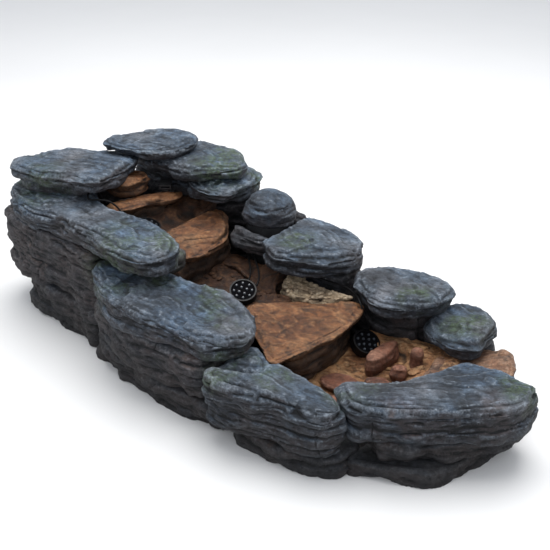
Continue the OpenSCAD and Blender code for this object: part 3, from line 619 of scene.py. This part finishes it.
# ---------------------------------------------------------------- the stones
# Where the moss and the umber wash are, as balls: x, y, z, radius in mm
MOSS = [(-190, -150, 205, 120), (-205, -150, 195, 90), (-230, -110, 215, 80), (-150, -90, 215, 70),
    (-110, -125, 208, 60), (-10, -130, 200, 65), (-480, -95, 275, 85), (-530, -60, 275, 80),
    (-130, -110, 275, 70), (-205, 170, 330, 95), (-250, 250, 325, 75), (400, 175, 140, 70),
    (-180, 235, 290, 60), (75, -150, 195, 60), (30, 130, 225, 55), (300, 150, 180, 50),
    (155, -180, 140, 50), (130, -245, 145, 60), (230, -200, 145, 50), (345, -140, 150, 70),
    (580, 30, 148, 60), (-590, -60, 270, 60)]
UMBER = [(-590, -100, 170, 90), (-450, -170, 150, 90), (-300, -180, 190, 80), (-120, -240, 60, 90),
    (60, -240, 100, 80), (250, -250, 60, 80), (450, -150, 100, 80), (-350, 20, 250, 70),
    (-120, -180, 150, 60), (560, -30, 110, 60)]

# node, seed, style, angle of the ridges on top, voxel in mm, and for the stream its material
SLATES = [
    ("left_cap_stone", 11, "slab", 10, 3.2),
    ("left_packing_stone", 12, "wall", 0, 4.0),
    ("left_rim_stone", 13, "slate", -6, 3.2),
    ("centre_rim_stone", 15, "slate", -10, 3.2),
    ("filler_stone", 16, "slate", -20, 3.6),
    ("right_rim_stone", 17, "slate", -4, 3.2),
    ("end_rim_stone", 18, "slate", 35, 3.2),
    ("back_top_slab", 19, "slab", 5, 3.2),
    ("back_middle_slab", 20, "slab", -15, 3.2),
    ("back_lower_slab", 21, "slate", -30, 3.4),
    ("back_centre_cap", 23, "slate", -20, 3.2),
    ("back_right_cap", 24, "slate", -20, 3.2),
    ("back_end_cap", 25, "slab", -25, 3.2),
]
WALLS = [
    ("left_wall_block", 31, "wall", 0, 3.6),
    ("left_base_block", 32, "wall", 0, 3.6),
    ("centre_wall_block", 33, "wall", 0, 3.6),
    ("centre_base_block", 34, "wall", 0, 3.6),
    ("right_base_block", 35, "wall", 0, 3.6),
    ("end_middle_stone", 36, "wall", 0, 3.6),
    ("end_base_stone", 37, "wall", 0, 3.6),
    ("back_left_block", 38, "wall", 0, 4.2),
    ("sump_back_stone", 39, "wall", 0, 4.2),
    ("back_centre_block", 40, "wall", 0, 4.2),
    ("back_right_block", 41, "wall", 0, 4.2),
    ("back_end_block", 42, "wall", 0, 4.2),
    ("inner_packing_stone", 43, "wall", 0, 5.0),
    ("slot_stone", 22, "slab", 0, 3.2),
]
STREAM = [
    ("spring_rock", 51, "ledge", 10, 3.2, OCHRE),
    ("top_ledge", 52, "ledge", 60, 2.8, OCHRE),
    ("top_riser", 53, "riser", 0, 4.0, RISER),
    ("middle_ledge", 54, "ledge", 55, 2.8, OCHRE),
    ("middle_riser", 55, "riser", 0, 4.0, RISER),
    ("lower_ledge", 56, "ledge", 20, 2.8, OCHRE),
    ("lower_riser", 57, "riser", 0, 3.6, RISER),
]

for node, seed, style, angle, voxel in SLATES:
    carve(node, SLATE, seed, style, angle, voxel)
for node, seed, style, angle, voxel in WALLS:
    carve(node, SLATE_DARK_SHADED, seed, style, angle, voxel)
for node, seed, style, angle, voxel, material in STREAM:
    carve(node, material, seed, style, angle, voxel)
carve("gravel_bank", GRAVEL, 61, "bed", 0, 2.8, stones=(90, 2.5, 7.0))
carve("bed_stones", RED, 62, "pebble", 40, 2.4)
carve("access_boulder", SLATE, 63, "boulder", 0, 2.8, "lid")

TOP_POOL_OUTLINE = [(-318, -50), (-210, -50), (-206, -20), (-226, 40), (-226, 168), (-300, 168),
    (-304, 100), (-318, 40)]
TOP_POOL_SPOTS = [(-265, 0, 196), (-265, 60, 196), (-262, 110, 200), (-300, -40, 214), (-225, -40, 212),
    (-230, 40, 214), (-235, 140, 226), (-290, 150, 234), (-305, 100, 226), (-312, 30, 216),
    (-240, 165, 236), (-210, -30, 205)]
basin("rock_top_pool", TOP_POOL_OUTLINE, 178, TOP_POOL_SPOTS, BED, ["top_pool"], 71)
MIDDLE_POOL_OUTLINE = [(-160, 90), (-160, -70), (-70, -104), (20, -96), (40, -50), (76, 36), (60, 70),
    (14, 60), (-60, 84), (-120, 100)]
MIDDLE_POOL_SPOTS = [(-40, 0, 107), (-100, 0, 109), (0, -50, 109), (-60, -60, 110), (-130, -60, 124),
    (-60, -95, 128), (20, -85, 128), (-140, 20, 124), (-140, 80, 134), (-100, 70, 128), (-50, 50, 118),
    (0, 40, 118), (40, 50, 130), (30, 0, 120), (30, -50, 126)]
basin("rock_middle_pool", MIDDLE_POOL_OUTLINE, 92, MIDDLE_POOL_SPOTS, BED, ["middle_pool"],
      72, stones=(60, 3.0, 8.0))
LOWER_POOL_OUTLINE = [(196, -132), (330, -128), (376, -84), (424, -30), (450, 30), (440, 90), (410, 160),
    (352, 160), (230, 146), (200, 120)]
LOWER_POOL_SPOTS = [(280, 0, 50), (260, -60, 50), (320, -60, 50), (330, 30, 50), (240, 40, 50),
    (300, 90, 52), (215, -120, 62), (330, -125, 66), (372, -60, 64), (400, -40, 72), (400, 10, 72),
    (450, 20, 98), (370, 80, 72), (420, 90, 98), (340, 130, 84), (400, 150, 100), (240, 132, 78),
    (290, 140, 84), (205, 0, 56)]
basin("rock_lower_pool", LOWER_POOL_OUTLINE, 14, LOWER_POOL_SPOTS, LOW_BED,
      ["lower_pool_bed"], 73, stones=(70, 3.0, 9.0))
END_APRON_OUTLINE = [(392, -20), (436, -10), (462, 50), (500, 76), (534, 84), (528, 124), (512, 160),
    (492, 188), (440, 200), (400, 190), (378, 120), (384, 60)]
END_APRON_SPOTS = [(392, -20, 78), (436, -10, 86), (400, 60, 84), (400, 150, 88), (440, 100, 92),
    (440, 190, 90), (462, 50, 96), (492, 185, 110), (512, 150, 108), (532, 90, 102), (500, 120, 106)]
basin("rock_end_apron", END_APRON_OUTLINE, 0, END_APRON_SPOTS, APRON, ["end_apron"], 60,
      3.6, "slope", thick=90)
carve("pool_back_stone", BED, 74, "bed", 70, 3.0)


# ---------------------------------------------------------------- parts kept from the CAD
FINISH = {"reservoir_tray": BLACK, "pump_sump": BLACK, "access_spigot": BLACK, "spring_spout": BLACK,
    "power_lead_gland": BLACK, "pump_body": PUMP, "pump_intake_cover": PUMP, "pump_impeller": WHITE,
    "pump_flow_dial": DIAL, "riser_hose": HOSE, "hose_clamps": STEEL, "light_housings": CASE,
    "light_faces": FACE, "light_lamps": LAMP}
for node, material in FINISH.items():
    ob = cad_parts[node]
    for s in ob.material_slots:
        s.material = material

# ---------------------------------------------------------------- leads
ROUTES = {
    "lead_top": [(-112, 165, 173), (-127, 155, 176), (-144, 148, 172), (-165, 154, 162),
        (-200, 160, 140), (-250, 158, 110), (-300, 144, 95), (-345, 116, 100), (-386, 70, 130),
        (-393, 20, 190), (-392, -14, 250), (-390, -40, 284), (-380, -66, 286), (-367, -76, 280),
        (-350, -62, 279), (-338, -48, 274), (-326, -38, 262), (-316, -34, 248), (-310, -30, 236),
        (-307, -20, 227), (-306, -10, 224)],
    "lead_middle_in": [(-98, 150, 172), (-98, 130, 172), (-92, 116, 166), (-79, 103, 157),
        (-66, 91, 149), (-54, 77, 141), (-44, 62, 141), (-36, 46, 139)],
    "lead_middle_out": [(-86, 150, 172), (-86, 130, 172), (-77, 114, 166), (-60, 103, 157),
        (-42, 89, 149), (-28, 74, 142), (-18, 60, 143), (-12, 46, 140)],
    "lead_lower": [(-54, 165, 150), (-40, 156, 150), (-28, 145, 150), (-16, 135, 150), (10, 134.5, 152),
        (100, 135, 152), (150, 135, 152), (184, 122, 150), (202, 106, 150), (212, 100, 142),
        (218, 100, 128), (223, 104, 114), (224, 110, 102), (223, 110, 96)],
}
LEAD_D = 4.0


def smooth_route(points, per=4):
    """Points along a smooth curve through the given ones, with per steps between two of them."""
    n = len(points)
    out = []
    for i in range(n - 1):
        a, b, c, d = (Vector(points[k]) for k in (max(i - 1, 0), i, i + 1, min(i + 2, n - 1)))
        for k in range(per):
            t = k / per
            square, cube = 2 * a - 5 * b + 4 * c - d, 3 * b - a - 3 * c + d
            out.append(0.5 * (2 * b + (c - a) * t + square * t * t + cube * t ** 3))
    return out + [Vector(points[-1])]


for name, points in ROUTES.items():
    line = smooth_route(points)
    cu = bpy.data.curves.new("cord_" + name, "CURVE")
    cu.dimensions = "3D"
    cu.bevel_depth = LEAD_D / 2 * MM
    cu.bevel_resolution = 3
    cu.use_fill_caps = True
    sp = cu.splines.new("POLY")
    sp.points.add(len(line) - 1)
    for q, v in zip(sp.points, line):
        q.co = (*(v * MM), 1.0)
    ob = bpy.data.objects.new("cord_" + name, cu)
    bpy.context.scene.collection.objects.link(ob)
    cu.materials.append(LEAD)
    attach(ob, "rockwork")
    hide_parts(name)

# ---------------------------------------------------------------- floor, light and camera
floor_me = bpy.data.meshes.new("floor")
REACH = 12.0
corners = [(-REACH, -REACH, 0), (REACH, -REACH, 0), (REACH, REACH, 0), (-REACH, REACH, 0)]
floor_me.from_pydata(corners, [], [(0, 1, 2, 3)])
floor = bpy.data.objects.new("floor", floor_me)
bpy.context.scene.collection.objects.link(floor)
fm = Nodes("floor_white")
white = fm.ramp(fm.noise(900, 3), [(0.3, (0.80, 0.80, 0.80)), (0.7, (0.83, 0.83, 0.83))])
floor_me.materials.append(fm.done(white))

world = bpy.data.worlds.new("studio")
bpy.context.scene.world = world
world.use_nodes = True
world.node_tree.nodes["Background"].inputs[0].default_value = (0.92, 0.95, 1.0, 1.0)
world.node_tree.nodes["Background"].inputs[1].default_value = 0.78


def softbox(name, at, towards, size, power, colour=(1, 1, 1)):
    la = bpy.data.lights.new(name, "AREA")
    la.shape = "SQUARE"
    la.size = size
    la.energy = power
    la.color = colour
    ob = bpy.data.objects.new(name, la)
    ob.location = at
    ob.rotation_euler = (Vector(towards) - Vector(at)).to_track_quat("-Z", "Y").to_euler()
    bpy.context.scene.collection.objects.link(ob)


softbox("key", (-0.3, 0.6, 2.6), (0, 0, 0.15), 2.6, 84, (1.0, 0.99, 0.97))
softbox("fill", (1.6, -2.2, 1.5), (0, 0, 0.1), 2.0, 7, (0.95, 0.97, 1.0))

AZIMUTH = math.radians(38)
ELEVATION = math.radians(28)
LENS = 60.0
DISTANCE = 2.0
target = Vector((-0.045, 0.150, 0.110))
level = math.cos(ELEVATION)
back = Vector((math.sin(AZIMUTH) * level, -math.cos(AZIMUTH) * level, math.sin(ELEVATION)))
cam_data = bpy.data.cameras.new("camera")
cam_data.lens = LENS
cam_data.sensor_width = 36.0
cam_data.clip_start = 0.05
cam = bpy.data.objects.new("camera", cam_data)
cam.location = target + back * DISTANCE
cam.rotation_euler = back.to_track_quat("Z", "Y").to_euler()
bpy.context.scene.collection.objects.link(cam)
bpy.context.scene.camera = cam
bpy.context.scene.view_settings.view_transform = "Standard"
